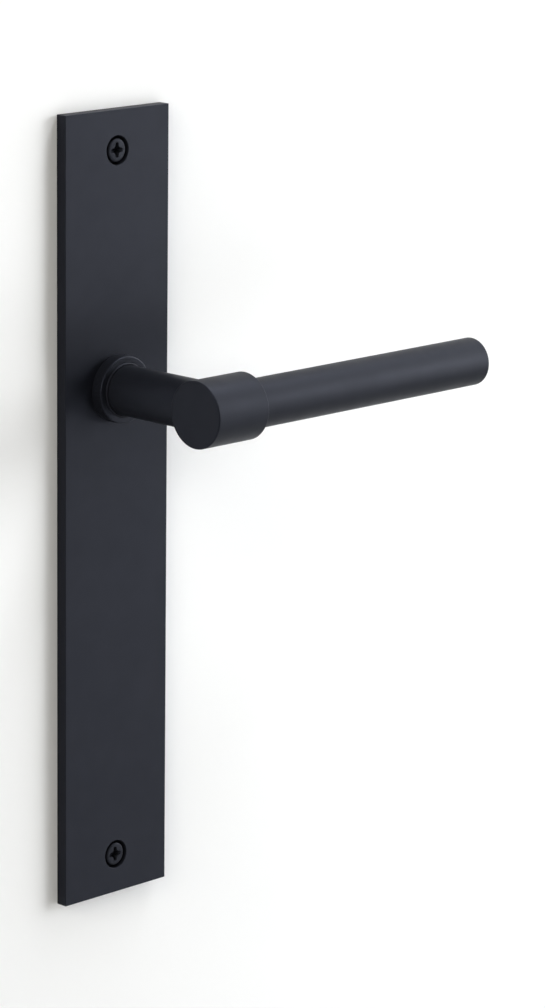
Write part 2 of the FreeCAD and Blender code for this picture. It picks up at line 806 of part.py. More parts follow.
def check_model():
    """Stops the script if a feature failed, a cut removed nothing or a shape isn't one valid solid."""
    for item in doc.Objects:
        if "Invalid" in item.State or "Error" in item.State:
            raise RuntimeError(f"{item.Name} is {item.State}")
        if item.TypeId in ("PartDesign::Pocket", "PartDesign::Hole"):
            removed = item.BaseFeature.Shape.Volume - item.Shape.Volume
            if removed < SMALLEST_CUT:
                raise RuntimeError(f"{item.Name} cuts nothing")
    for part in sub_parts:
        shape = part.Shape
        if shape.isNull() or not shape.isValid() or len(shape.Solids) != 1:
            raise RuntimeError(f"{part.Label} is not one valid solid")


def write_parts():
    os.makedirs("parts", exist_ok=True)
    for part in sub_parts:
        part.Shape.exportStep(f"parts/{part.Label}.step")
        box = part.Shape.BoundBox
        print(
            f"{part.Label:20s} {part.Shape.Volume:10.1f} mm3",
            f"x {box.XMin:7.2f} {box.XMax:7.2f}  y {box.YMin:7.2f} {box.YMax:7.2f}",
            f"z {box.ZMin:7.2f} {box.ZMax:7.2f}",
        )


make_sheet()
make_backplate()
make_collar()
make_bearing_bush()
make_spring_housing()
make_housing_screws()
make_return_spring()
make_fixing_screws()
make_neck()
make_ferrule()
make_grip()
make_studs()
make_spindle()
make_spring_driver()
make_thrust_washer()
make_spring_washer()
make_circlip()
doc.recompute()
check_model()
write_parts()
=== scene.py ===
"""Looks of the door lever handle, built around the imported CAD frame. All lengths are in metres.

The frame's X runs along the lever to its free end, Z is up and the front faces -Y. The neck, the
ferrule, the spindle, the spring housing and the washers keep their CAD meshes and get their finishes
here. The backplate, collar, bush, grip, screws, studs and return spring are replaced by finer meshes.
"""

import math

import bmesh
import bpy
from mathutils import Matrix, Vector


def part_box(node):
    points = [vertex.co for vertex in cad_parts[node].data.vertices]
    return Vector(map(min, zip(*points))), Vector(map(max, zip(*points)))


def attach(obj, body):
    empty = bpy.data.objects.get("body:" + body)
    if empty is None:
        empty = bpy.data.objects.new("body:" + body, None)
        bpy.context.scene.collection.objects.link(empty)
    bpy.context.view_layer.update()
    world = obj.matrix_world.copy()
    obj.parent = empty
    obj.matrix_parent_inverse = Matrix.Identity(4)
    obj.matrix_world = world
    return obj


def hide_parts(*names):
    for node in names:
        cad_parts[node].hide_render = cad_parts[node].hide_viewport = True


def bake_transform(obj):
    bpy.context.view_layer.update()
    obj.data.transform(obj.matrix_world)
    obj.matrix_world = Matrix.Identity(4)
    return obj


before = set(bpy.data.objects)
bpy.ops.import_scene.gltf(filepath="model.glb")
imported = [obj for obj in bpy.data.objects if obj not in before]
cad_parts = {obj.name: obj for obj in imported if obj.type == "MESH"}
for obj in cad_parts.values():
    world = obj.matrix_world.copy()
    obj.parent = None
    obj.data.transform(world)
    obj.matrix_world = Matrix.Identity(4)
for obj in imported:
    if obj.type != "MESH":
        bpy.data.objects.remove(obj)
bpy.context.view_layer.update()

MM = 0.001
TAU = 2 * math.pi

# ---------------------------------------------------------------- camera

CAMERA_AZIMUTH = math.radians(-45.676)
CAMERA_ELEVATION = math.radians(13.202)
CAMERA_ROLL = math.radians(0.662)
CAMERA_DISTANCE = 1.32474
CAMERA_ASIDE = 0.05298
CAMERA_BELOW = 0.037918
CAMERA_LENS = 146.87


def make_camera():
    """Looks at the handle from its left and a little above, through a long lens."""
    sin_a, cos_a = math.sin(CAMERA_AZIMUTH), math.cos(CAMERA_AZIMUTH)
    sin_e, cos_e = math.sin(CAMERA_ELEVATION), math.cos(CAMERA_ELEVATION)
    back = Vector((sin_a * cos_e, -cos_a * cos_e, sin_e))
    level = Vector((cos_a, sin_a, 0))
    upright = back.cross(level)
    right = math.cos(CAMERA_ROLL) * level + math.sin(CAMERA_ROLL) * upright
    up = back.cross(right)
    data = bpy.data.cameras.new("camera")
    data.lens = CAMERA_LENS
    data.clip_start = 0.05
    data.clip_end = 50
    camera = bpy.data.objects.new("camera", data)
    place = back * CAMERA_DISTANCE + right * CAMERA_ASIDE - up * CAMERA_BELOW
    turn = Matrix((right, up, back)).transposed().to_4x4()
    camera.matrix_world = Matrix.Translation(place) @ turn
    bpy.context.scene.collection.objects.link(camera)
    bpy.context.scene.camera = camera


# ---------------------------------------------------------------- materials


class Finish:
    """A node material with a Principled shader, and short ways to add procedural detail to it."""

    def __init__(self, name, colour, roughness, metallic=0.0, ior=1.5):
        self.material = bpy.data.materials.new(name)
        self.material.use_nodes = True
        self.nodes = self.material.node_tree.nodes
        self.links = self.material.node_tree.links
        self.shader = self.nodes["Principled BSDF"]
        self.shader.inputs["Base Color"].default_value = (*colour, 1)
        self.shader.inputs["Roughness"].default_value = roughness
        self.shader.inputs["Metallic"].default_value = metallic
        self.shader.inputs["IOR"].default_value = ior
        self.place = self.nodes.new("ShaderNodeTexCoord").outputs["Object"]

    def stretched(self, scale):
        """Object coordinates scaled apart, so that a noise becomes lines."""
        mapping = self.nodes.new("ShaderNodeMapping")
        mapping.inputs["Scale"].default_value = scale
        self.links.new(self.place, mapping.inputs["Vector"])
        return mapping.outputs["Vector"]

    def noise(self, scale, detail=2.0, place=None):
        """Cloudy values around a half, finer as the scale goes up."""
        node = self.nodes.new("ShaderNodeTexNoise")
        node.inputs["Scale"].default_value = scale
        node.inputs["Detail"].default_value = detail
        self.links.new(place or self.place, node.inputs["Vector"])
        return node.outputs["Fac"]

    def spread(self, value, low, high, start=0.3, end=0.7):
        """Turns a value from start to end into one from low to high."""
        node = self.nodes.new("ShaderNodeMapRange")
        node.inputs["From Min"].default_value = start
        node.inputs["From Max"].default_value = end
        node.inputs["To Min"].default_value = low
        node.inputs["To Max"].default_value = high
        self.links.new(value, node.inputs["Value"])
        return node.outputs["Result"]

    def blend(self, amount, first, second):
        """A colour between two others, each a constant or another node's output."""
        node = self.nodes.new("ShaderNodeMix")
        node.data_type = "RGBA"
        self.links.new(amount, node.inputs[0])
        for socket, colour in ((node.inputs[6], first), (node.inputs[7], second)):
            if isinstance(colour, tuple):
                socket.default_value = (*colour, 1)
            else:
                self.links.new(colour, socket)
        return node.outputs[2]

    def edge(self, radius):
        """0 on open faces and up to 1 along edges of about that radius."""
        bevel = self.nodes.new("ShaderNodeBevel")
        bevel.samples = 6
        bevel.inputs["Radius"].default_value = radius
        geometry = self.nodes.new("ShaderNodeNewGeometry")
        alike = self.nodes.new("ShaderNodeVectorMath")
        alike.operation = "DOT_PRODUCT"
        self.links.new(bevel.outputs["Normal"], alike.inputs[0])
        self.links.new(geometry.outputs["Normal"], alike.inputs[1])
        # Where the mask is full and where it ends; the finishes use it for worn edges and for painted
        # edge highlights
        full_edge_at, no_edge_at = 0.80, 0.98
        return self.spread(alike.outputs["Value"], 1, 0, full_edge_at, no_edge_at)

    def relief(self, value, depth, normal=None):
        """Raises the surface by up to depth where the value is 1, over an earlier relief if any."""
        bump = self.nodes.new("ShaderNodeBump")
        bump.inputs["Strength"].default_value = 1.0
        bump.inputs["Distance"].default_value = depth
        self.links.new(value, bump.inputs["Height"])
        if normal is not None:
            self.links.new(normal, bump.inputs["Normal"])
        self.links.new(bump.outputs["Normal"], self.shader.inputs["Normal"])
        return bump.outputs["Normal"]

    def set(self, name, output):
        """Feeds one of the shader's sockets from a node."""
        self.links.new(output, self.shader.inputs[name])


# Black coats reflect a little more blue than the rest of daylight
BLUE_SHEEN = (0.62, 0.69, 1.0, 1)


def black_coat():
    """Fine-grained matt black powder coat over steel, with lighter edges that are partly coat worn thin
    and partly a painted highlight along the edges.
    """
    finish = Finish("black_coat", (0.006, 0.007, 0.009), 0.5, ior=1.30)
    finish.shader.inputs["Specular Tint"].default_value = BLUE_SHEEN
    cloudy = finish.spread(finish.noise(45, 3), 0, 1)
    colour = finish.blend(cloudy, (0.0040, 0.0045, 0.0062), (0.0058, 0.0062, 0.0080))
    # Lighter edges: partly coat worn thin, partly painted highlight along the edges
    wear_and_edge_highlight = finish.blend(finish.edge(0.35 * MM), colour, (0.009, 0.010, 0.012))
    finish.set("Base Color", wear_and_edge_highlight)
    finish.set("Roughness", finish.spread(finish.noise(160, 4), 0.47, 0.53))
    normal = finish.relief(finish.noise(900, 2), 0.008 * MM)
    finish.relief(finish.noise(4200, 2), 0.006 * MM, normal)
    return finish.material


def black_screw():
    """Blackened steel of the screws, smoother than the coat."""
    finish = Finish("black_screw", (0.008, 0.008, 0.010), 0.52, ior=1.28)
    finish.shader.inputs["Specular Tint"].default_value = BLUE_SHEEN
    cloudy = finish.spread(finish.noise(600, 3), 0, 1)
    colour = finish.blend(cloudy, (0.005, 0.0055, 0.007), (0.008, 0.0085, 0.010))
    # Lighter edges: partly wear, partly painted highlight along the edges
    wear_and_edge_highlight = finish.blend(finish.edge(0.15 * MM), colour, (0.013, 0.013, 0.015))
    finish.set("Base Color", wear_and_edge_highlight)
    finish.set("Roughness", finish.spread(finish.noise(1800, 3), 0.48, 0.56))
    finish.relief(finish.noise(3500, 2), 0.004 * MM)
    return finish.material


def nylon():
    """Black glass-filled nylon of the bush, with a moulded sheen."""
    finish = Finish("nylon", (0.006, 0.006, 0.007), 0.55, ior=1.25)
    finish.shader.inputs["Specular Tint"].default_value = BLUE_SHEEN
    mottle = finish.spread(finish.noise(2500, 3), 0, 1)
    finish.set("Base Color", finish.blend(mottle, (0.004, 0.004, 0.005), (0.007, 0.007, 0.009)))
    finish.set("Roughness", finish.spread(finish.noise(700, 3), 0.50, 0.60))
    finish.relief(finish.noise(2600, 2), 0.004 * MM)
    return finish.material


def zinc_plate():
    """Bright zinc plating, slightly cloudy, with a fine crystal grain."""
    finish = Finish("zinc_plate", (0.62, 0.64, 0.67), 0.36, metallic=1.0)
    cloudy = finish.spread(finish.noise(240, 4), 0, 1)
    colour = finish.blend(cloudy, (0.52, 0.54, 0.57), (0.62, 0.64, 0.66))
    rubbed = finish.blend(finish.edge(0.3 * MM), colour, (0.72, 0.73, 0.74))
    finish.set("Base Color", rubbed)
    finish.set("Roughness", finish.spread(finish.noise(900, 4), 0.34, 0.44))
    finish.relief(finish.noise(2400, 3), 0.0015 * MM)
    return finish.material


def machined_steel(name, dark, light, roughness, lines):
    """Uncoated steel with cutting marks: lines says how the noise is stretched along each axis."""
    finish = Finish(name, light, roughness, metallic=1.0)
    marks = finish.noise(1.0, 4, finish.stretched(lines))
    cloudy = finish.spread(finish.noise(180, 3), 0, 1)
    finish.set("Base Color", finish.blend(cloudy, dark, light))
    finish.set("Roughness", finish.spread(marks, roughness - 0.08, roughness + 0.10))
    finish.relief(marks, 0.004 * MM)
    return finish.material


def pale_sheet(name, grey):
    """Matt paint that is clear from behind, so that the handle's back and underside can be seen."""
    finish = Finish(name, (grey, grey, grey), 0.9)
    finish.set("Roughness", finish.spread(finish.noise(60, 2), 0.85, 0.95))
    geometry = finish.nodes.new("ShaderNodeNewGeometry")
    clear = finish.nodes.new("ShaderNodeBsdfTransparent")
    mix = finish.nodes.new("ShaderNodeMixShader")
    finish.links.new(geometry.outputs["Backfacing"], mix.inputs[0])
    finish.links.new(finish.shader.outputs[0], mix.inputs[1])
    finish.links.new(clear.outputs[0], mix.inputs[2])
    finish.links.new(mix.outputs[0], finish.nodes["Material Output"].inputs["Surface"])
    return finish.material


# ---------------------------------------------------------------- mesh making

SMALLEST = 1e-9
SEAM_GAP = 0.001 * MM
SHARP_ANGLE = math.radians(38)
# Faces that join four corners, 0 to 3, to the four after them
FOUR_SIDES = [(side, (side + 1) % 4, 4 + (side + 1) % 4, 4 + side) for side in range(4)]


def axes_along(axis):
    """The axis and two directions across it, the first as near to upright as it can be."""
    upright = Vector((1, 0, 0)) if abs(axis.z) > 0.9 else Vector((0, 0, 1))
    return axis, upright, axis.cross(upright)


def rounded_outline(corners, closed, steps=5):
    """Points and outward normals along one side of a turned piece.

    Each corner is (along, radius, rounding), and the metal is on the right of the way round. A
    rounding becomes an arc, whose normals run on from the straight parts on both sides of it.
    """
    points = []
    last = len(corners) - 1
    for index, (along, radius, rounding) in enumerate(corners):
        here = Vector((along, radius))
        before = Vector(corners[index - 1][:2])
        after = Vector(corners[(index + 1) % len(corners)][:2])
        into = (here - before).normalized()
        out = (after - here).normalized()
        if not closed and index == 0:
            into = out
        if not closed and index == last:
            out = into
        left = Vector((-into.y, into.x))
        turn = math.atan2(into.x * out.y - into.y * out.x, into.dot(out))
        if rounding == 0 or abs(turn) < SMALLEST:
            points.append((here, left))
            continue
        start = here - into * rounding * math.tan(abs(turn) / 2)
        centre = start + left * math.copysign(rounding, turn)
        for step in range(steps + 1):
            swing = Matrix.Rotation(turn * step / steps, 2)
            points.append((centre + swing @ (start - centre), swing @ left))
    return points


def turned(name, corners, origin, axis, closed=False, segments=144, ridge=None):
    """A mesh turned about an axis, from one end's middle to the other's, or closed into a ring.

    ridge, if there is one, gives how far the surface stands out at a place along and an angle.
    """
    axis, up, side = axes_along(Vector(axis))
    verts, normals, rows = [], [], []
    for place, normal in rounded_outline(corners, closed):
        first = len(verts)
        on_axis = place.y < SMALLEST
        rows.append([first] * segments if on_axis else list(range(first, first + segments)))
        for step in range(1 if on_axis else segments):
            angle = TAU * step / segments
            spoke = up * math.cos(angle) + side * math.sin(angle)
            extra = ridge(place.x, angle) if ridge else 0
            verts.append(Vector(origin) + axis * place.x + spoke * (place.y + extra))
            normals.append(axis * normal.x + spoke * normal.y)
    faces = []
    following_rows = rows[1:] + rows[:1] if closed else rows[1:]
    for row, following in zip(rows, following_rows):
        for step in range(segments):
            after = (step + 1) % segments
            corners_round = (row[step], row[after], following[after], following[step])
            face = list(dict.fromkeys(corners_round))
            if len(face) > 2:
                faces.append(face)
    mesh = bpy.data.meshes.new(name)
    mesh.from_pydata(verts, [], faces)
    turn_outward(mesh)
    mesh.shade_smooth()
    if ridge:
        mesh.set_sharp_from_angle(angle=SHARP_ANGLE)
    else:
        mesh.normals_split_custom_set_from_vertices(normals)
    return mesh


def change_mesh(mesh, change):
    """Edits a mesh through bmesh: change is called with the editable copy."""
    solid = bmesh.new()
    solid.from_mesh(mesh)
    change(solid)
    solid.to_mesh(mesh)
    solid.free()


def turn_outward(mesh):
    """Makes every face look out of the solid."""
    change_mesh(mesh, lambda solid: bmesh.ops.recalc_face_normals(solid, faces=solid.faces))


def close_seams(mesh):
    """Joins points that lie on each other, such as those round a tube's end cap."""
    change_mesh(mesh, lambda solid: bmesh.ops.remove_doubles(solid, verts=solid.verts, dist=SEAM_GAP))


def tapered_cutter(outline, origin, axis, levels):
    """A closed cutter: an outline across an axis, scaled at each (along, scale) level, then a point."""
    axis, up, side = axes_along(Vector(axis))
    verts, faces = [], []
    count = len(outline)
    for along, scale in levels[:-1]:
        for across, upward in outline:
            verts.append(Vector(origin) + axis * along + (side * across + up * upward) * scale)
    verts.append(Vector(origin) + axis * levels[-1][0])
    for level in range(len(levels) - 2):
        low, high = level * count, (level + 1) * count
        for step in range(count):
            after = (step + 1) % count
            faces.append((low + step, low + after, high + after, high + step))
    deepest = (len(levels) - 2) * count
    for step in range(count):
        faces.append((deepest + step, deepest + (step + 1) % count, len(verts) - 1))
    faces.append(tuple(reversed(range(count))))
    mesh = bpy.data.meshes.new("cutter")
    mesh.from_pydata(verts, [], faces)
    turn_outward(mesh)
    return mesh


def cut_away(mesh, cutters):
    """The mesh with the cutters' volumes taken out of it."""
    target = bpy.data.objects.new("target", mesh)
    tools = [bpy.data.objects.new("tool", cutter) for cutter in cutters]
    for item in [target] + tools:
        bpy.context.scene.collection.objects.link(item)
    for tool in tools:
        boolean = target.modifiers.new("cut", "BOOLEAN")
        boolean.operation = "DIFFERENCE"
        boolean.solver = "EXACT"
        boolean.object = tool
    bpy.context.view_layer.update()
    evaluated = target.evaluated_get(bpy.context.evaluated_depsgraph_get())
    result = bpy.data.meshes.new_from_object(evaluated)
    result.name = mesh.name
    for item in [target] + tools:
        bpy.data.objects.remove(item)
    result.shade_smooth()
    result.set_sharp_from_angle(angle=SHARP_ANGLE)
    return result


def thread(start, end, pitch, depth, run_out, flank=1.0):
    """How far a right-hand thread stands out. flank is the part of the pitch that its ridge takes."""
    blunting = 1.25

    def ridge(along, angle):
        if not start < along < end:
            return 0
        phase = ((along - start) / pitch - angle / TAU) % 1
        height = 1 - abs(phase - 0.5) * 2 / flank
        height = min(max(height * blunting, 0), 1)
        fade = min(1, (along - start) / run_out, (end - along) / run_out)
        return depth * height * fade

    return ridge


def thread_rows(start, end, pitch, radius_at, per_pitch):
    """Corners close enough together along a thread to show its ridge."""
    count = round((end - start) / pitch * per_pitch)
    places = [start + (end - start) * step / count for step in range(count + 1)]
    return [(place, radius_at(place), 0) for place in places]


# ---------------------------------------------------------------- pieces

HOUSING_SCREWS = ("housing_screw_1", "housing_screw_2", "housing_screw_3")
FIXING_SCREWS = ("fixing_screw_top", "fixing_screw_bottom")
BACKWARD = (0, 1, 0)
FORWARD = (0, -1, 0)
UPWARD = (0, 0, 1)
ALONG_LEVER = (1, 0, 0)
AGAINST_LEVER = (-1, 0, 0)
SPINDLE_AXIS = (0, 0, 0)


def new_piece(node, mesh, material_slot):
    """Shows a mesh in place of a CAD node. The caller says which body carries it."""
    mesh.materials.clear()
    mesh.materials.append(MATERIALS[material_slot])
    piece = bpy.data.objects.new(node + "_detailed", mesh)
    bpy.context.scene.collection.objects.link(piece)
    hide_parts(node)
    return piece


def middle(node):
    """The middle of a CAD node's box."""
    low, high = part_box(node)
    return (Vector(low) + Vector(high)) / 2


def in_metres(corners):
    """The same corners, from millimetres."""
    return [tuple(size * MM for size in corner) for corner in corners]


def bored(reach, start, end, centre, segments):
    """A cutter for a round hole, from one place along the spindle's direction to another."""
    corners = in_metres([(start, 0, 0), (start, reach, 0), (end, reach, 0), (end, 0, 0)])
    return turned("cutter", corners, centre, BACKWARD, segments=segments)


def make_backplate():
    """Flat plate with eased front edges, rounder holes than the CAD has, and the recess behind."""
    (_, front, foot), (side, _, top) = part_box("backplate")
    outline = [(-side, foot), (side, foot), (side, top), (-side, top)]
    verts = [(x, y, z) for y in (front, 0) for x, z in outline]
    mesh = bpy.data.meshes.new("backplate")
    mesh.from_pydata(verts, [], [(0, 1, 2, 3), (7, 6, 5, 4)] + FOUR_SIDES)
    turn_outward(mesh)

    def ease(solid):
        edges = [edge for edge in solid.edges if min(vert.co.y for vert in edge.verts) < front / 2]
        bmesh.ops.bevel(solid, geom=edges, offset=0.2 * MM, segments=4, profile=0.5, affect="EDGES")

    change_mesh(mesh, ease)

    # Millimetres from here. The cutters run from before the plate's face to behind its back
    face, before, behind = -4.0, -5.0, 1.0
    counterbore, clearance, seat = 4.75, 2.25, -1.6
    chamfer = 0.13
    collar_hole, recess, recess_floor = 10.05, 20, -1.7
    tapped_hole, tapped_floor = 1.3, -3.5
    cutters = []
    for label in FIXING_SCREWS:
        corners = in_metres([
            (before, 0, 0),
            (before, counterbore + chamfer + face - before, 0),
            (face + chamfer, counterbore, 0.05),
            (seat, counterbore, 0),
            (seat, clearance, 0),
            (behind, clearance, 0),
            (behind, 0, 0),
        ])
        cutters.append(turned("cutter", corners, (0, 0, middle(label).z), BACKWARD, segments=128))
    cutters.append(bored(collar_hole, before, behind, SPINDLE_AXIS, 144))
    cutters.append(bored(recess, recess_floor, behind, SPINDLE_AXIS, 192))
    for label in HOUSING_SCREWS:
        place = middle(label)
        cutters.append(bored(tapped_hole, tapped_floor, behind, (place.x, 0, place.z), 32))
    piece = new_piece("backplate", cut_away(mesh, cutters), "black_coat")
    normals = piece.modifiers.new("flat_faces", "WEIGHTED_NORMAL")
    normals.keep_sharp = True
    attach(piece, "plate_set")


def make_collar():
    """Boss on the plate's face with a rolled outer rim and an eased bore."""
    front, plate_face, back = -8.2, -4.0, -1.7
    bore, outside, seat = 8.95, 11.0, 10.0
    corners = in_metres([
        (front, bore, 0.12),
        (front, outside, 0.50),
        (plate_face, outside, 0.05),
        (plate_face, seat, 0.05),
        (back, seat, 0.20),
        (back, bore, 0.10),
    ])
    mesh = turned("collar", corners, SPINDLE_AXIS, BACKWARD, closed=True)
    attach(new_piece("collar", mesh, "black_coat"), "plate_set")


def make_bush():
    """Nylon bush with a bevelled lip that stands proud of the collar."""
    front, back = -8.65, -1.7
    bore, outside = 8.25, 8.95
    bevel = 0.35
    corners = in_metres([
        (front, bore, 0.15),
        (front, outside - bevel, 0.25),
        (front + bevel, outside, 0.25),
        (back, outside, 0.10),
        (back, bore, 0.20),
    ])
    mesh = turned("bearing_bush", corners, SPINDLE_AXIS, BACKWARD, closed=True)
    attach(new_piece("bearing_bush", mesh, "nylon"), "plate_set")


def make_grip():
    """Round bar with a rolled free end and the stud's hole in the seated end."""
    start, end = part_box("grip")[0][0] / MM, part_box("grip")[1][0] / MM
    hole_floor, hole, outside = 24.6, 4.05, 8.0
    corners = in_metres([
        (hole_floor, 0, 0),
        (hole_floor, hole, 0.05),
        (start, hole, 0.30),
        (start, outside, 0.15),
        (end, outside, 0.80),
        (end, 0, 0),
    ])
    axis_point = (0, middle("grip").y, 0)
    mesh = turned("grip", corners, axis_point, ALONG_LEVER)
    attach(new_piece("grip", mesh, "black_coat"), "lever_set")


def cross_outline(reach, tip, waist, steps=6):
    """Four-winged driver recess: rounded wing ends, with hollow arcs between the wings.

    The wings are twice tip wide where they end, and the hollows come in to waist on both axes.
    """
    offset = (reach ** 2 + tip ** 2 - 2 * waist ** 2) / (2 * (reach + tip - 2 * waist))
    hollow = math.dist((offset, offset), (reach, tip))
    first = math.atan2(tip - offset, reach - offset)
    last = math.atan2(reach - offset, tip - offset) - TAU
    points = []
    bulge = tip * 0.45
    for quarter in range(4):
        turn = Matrix.Rotation(quarter * TAU / 4, 2)
        for step in range(-2, 3):
            angle = step * TAU / 12
            points.append(turn @ Vector((reach + bulge * math.cos(angle), tip * math.sin(angle))))
        for step in range(steps + 1):
            angle = first + (last - first) * step / steps
            hollow_point = Vector((math.cos(angle), math.sin(angle))) * hollow
            points.append(turn @ (Vector((offset, offset)) + hollow_point))
    return [tuple(point) for point in points]


def make_fixing_screw(node):
    """Pan-head screw: low dome, cross recess, plain shank and a coarse tapering thread."""
    height = middle(node).z
    # Millimetres: places along the screw from the plate's back, then radii
    top, rim, seat, shank_end, taper_start, tip = -3.75, -3.66, -1.6, 6.0, 24.4, 28.4
    dome_edge, head, waist, shank, root = 3.35, 3.75, 1.75, 2.0, 1.5
    bluntness = 0.03
    cut = {"start": (shank_end + 0.4) * MM, "end": tip * MM, "pitch": 1.8 * MM}

    dome_steps = 8
    dome = []
    for step in range(dome_steps + 1):
        part = step / dome_steps
        dome.append((top + (rim - top) * part ** 2, dome_edge * step / dome_steps, 0))

    def core(place):
        left = (tip * MM - place) / ((tip - taper_start) * MM)
        return root * MM * min(1, max(left, bluntness))

    corners = in_metres(dome + [
        (rim + 0.18, head, 0.30),
        (seat, head, 0.15),
        (seat, waist, 0.10),
        (0, waist, 0),
        (0, shank, 0),
        (shank_end, shank, 0),
    ])
    corners += thread_rows(**cut, radius_at=core, per_pitch=16)
    corners.append(((tip + 0.02) * MM, 0, 0))
    ridge = thread(**cut, depth=0.5 * MM, run_out=1.6 * MM, flank=0.45)
    mesh = turned(node, corners, (0, 0, height), BACKWARD, segments=72, ridge=ridge)
    recess = cross_outline(reach=2.2 * MM, tip=0.66 * MM, waist=1.0 * MM)
    levels = [(top - 0.4, 1.1), (top + 0.1, 1.0), (top + 1.7, 0.7), (top + 2.2, 0)]
    levels = [(along * MM, scale) for along, scale in levels]
    mesh = cut_away(mesh, [tapered_cutter(recess, (0, 0, height), BACKWARD, levels)])
    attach(new_piece(node, mesh, "black_screw"), "plate_set")


def make_housing_screw(node):
    """Small countersunk machine screw, with its head to the back."""
    centre = middle(node)
    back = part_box(node)[1][1]
    origin = (centre.x, back, centre.z)
    # Millimetres: three radii, then the length
    head, shank, core, length = 2.35, 1.25, 1.05, 3.1
    under_head = head - shank
    end_bevel = 0.2
    cut = {"start": (under_head + 0.3) * MM, "end": (length - end_bevel) * MM, "pitch": 0.45 * MM}
    corners = in_metres([
        (0, 0, 0),
        (0, head, 0.10),
        (under_head, shank, 0),
        (under_head + shank - core, core, 0),
    ])
    corners += thread_rows(**cut, radius_at=lambda place: core * MM, per_pitch=8)
    corners += in_metres([(length, core - end_bevel, 0), (length, 0, 0)])
    ridge = thread(**cut, depth=0.2 * MM, run_out=0.3 * MM)
    mesh = turned(node, corners, origin, FORWARD, segments=48, ridge=ridge)
    recess = cross_outline(reach=1.15 * MM, tip=0.28 * MM, waist=0.48 * MM)
    levels = [(-0.3, 1.1), (0, 1.0), (0.8, 0.45), (1.0, 0)]
    levels = [(along * MM, scale) for along, scale in levels]
    mesh = cut_away(mesh, [tapered_cutter(recess, origin, FORWARD, levels)])
    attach(new_piece(node, mesh, "zinc_plate"), "plate_set")


def make_stud(node, axis, start, length, radius, pitch, socket_across, socket_depth):
    """Headless screw with a full machine thread and a hexagon socket in its first end."""
    depth = 0.54 * pitch
    core = radius - depth
    end_bevel, run_out = 0.1, 0.5
    cut = {"start": 0.2 * MM, "end": (length - 0.2) * MM, "pitch": pitch * MM}
    corners = in_metres([(0, 0, 0), (0, core - end_bevel, 0), (0.15, core, 0)])
    corners += thread_rows(**cut, radius_at=lambda place: core * MM, per_pitch=10)
    corners += in_metres([(length, core - end_bevel, 0), (length, 0, 0)])
    ridge = thread(**cut, depth=depth * MM, run_out=run_out * MM)
    mesh = turned(node, corners, start, axis, segments=60, ridge=ridge)
    reach = socket_across / 2 / math.cos(TAU / 12) * MM
    angles = [TAU * step / 6 for step in range(6)]
    hexagon = [(reach * math.cos(angle), reach * math.sin(angle)) for angle in angles]
    drill_point = 0.8
    levels = [(-0.3, 1), (socket_depth, 1), (socket_depth + drill_point, 0)]
    levels = [(along * MM, scale) for along, scale in levels]
    mesh = cut_away(mesh, [tapered_cutter(hexagon, start, axis, levels)])
    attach(new_piece(node, mesh, "bare_steel"), "lever_set")


def make_studs():
    """The M8 studs that hold the lever together, and the M5 grub screw that holds the spindle."""
    joining = {"length": 20, "radius": 4.0, "pitch": 1.25, "socket_across": 4, "socket_depth": 4}
    neck_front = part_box("neck_stud")[0][1]
    make_stud("neck_stud", BACKWARD, (0, neck_front, 0), **joining)
    grip_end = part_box("grip_stud")[1][0]
    make_stud("grip_stud", AGAINST_LEVER, (grip_end, middle("grip_stud").y, 0), **joining)
    grub = {"length": 4, "radius": 2.5, "pitch": 0.8, "socket_across": 2.5, "socket_depth": 1.6}
    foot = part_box("spindle_grub_screw")[0][2]
    make_stud("spindle_grub_screw", UPWARD, (0, middle("spindle_grub_screw").y, foot), **grub)


def make_return_spring():
    """Wire coil with a leg at each end, which winds up between the lever and the plate."""
    wire, coil = 0.9 * MM, 9.7 * MM
    front, pitch, turns = 1.8 * MM, 1.9 * MM, 2.5
    back = front + pitch * turns
    front_tip, rear_tip = -0.8 * MM, 9.05 * MM
    bend = 0.3 * MM
    steps_a_turn = 32
    route = [(coil, y, 0) for y in (front_tip, (front_tip + front) / 2, front - bend)]
    steps = round(steps_a_turn * turns)
    for step in range(steps + 1):
        angle = TAU * turns * step / steps
        y = front + (back - front) * step / steps
        route.append((coil * math.cos(angle), y, coil * math.sin(angle)))
    route += [(-coil, y, 0) for y in (back + bend, (back + rear_tip) / 2, rear_tip)]
    curve = bpy.data.curves.new("return_spring", "CURVE")
    curve.dimensions = "3D"
    curve.bevel_depth = wire
    curve.bevel_resolution = 5
    curve.resolution_u = 4
    curve.use_fill_caps = True
    spline = curve.splines.new("NURBS")
    spline.points.add(len(route) - 1)
    for point, place in zip(spline.points, route):
        point.co = (*place, 1)
    spline.order_u = 3
    spline.use_endpoint_u = True
    drawn = bpy.data.objects.new("drawn_spring", curve)
    bpy.context.scene.collection.objects.link(drawn)
    bpy.context.view_layer.update()
    evaluated = drawn.evaluated_get(bpy.context.evaluated_depsgraph_get())
    mesh = bpy.data.meshes.new_from_object(evaluated)
    bpy.data.objects.remove(drawn)
    mesh.name = "return_spring"
    close_seams(mesh)
    turn_outward(mesh)
    mesh.shade_smooth()
    mesh.set_sharp_from_angle(angle=SHARP_ANGLE)
    piece = new_piece("return_spring", mesh, "spring_steel")
    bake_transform(piece)


# ---------------------------------------------------------------- stage and light

# A door face cut to a board around the handle, at a usual height above the floor. Its opening ends
# a little inside the backplate's outline, so that light from behind reaches the plate's back.
BOARD_HALF = 0.45
BOARD_Y = 0.0002
OPENING_INSET = 0.0005
FLOOR_HALF = 4.0
FLOOR_Z = -1.05


def sheet_of_stage(name, corners, faces, material):
    """A flat sheet that belongs to the studio, not to the handle."""
    mesh = bpy.data.meshes.new(name)
    mesh.from_pydata(corners, [], faces)
    mesh.materials.append(material)
    sheet = bpy.data.objects.new(name, mesh)
    bpy.context.scene.collection.objects.link(sheet)


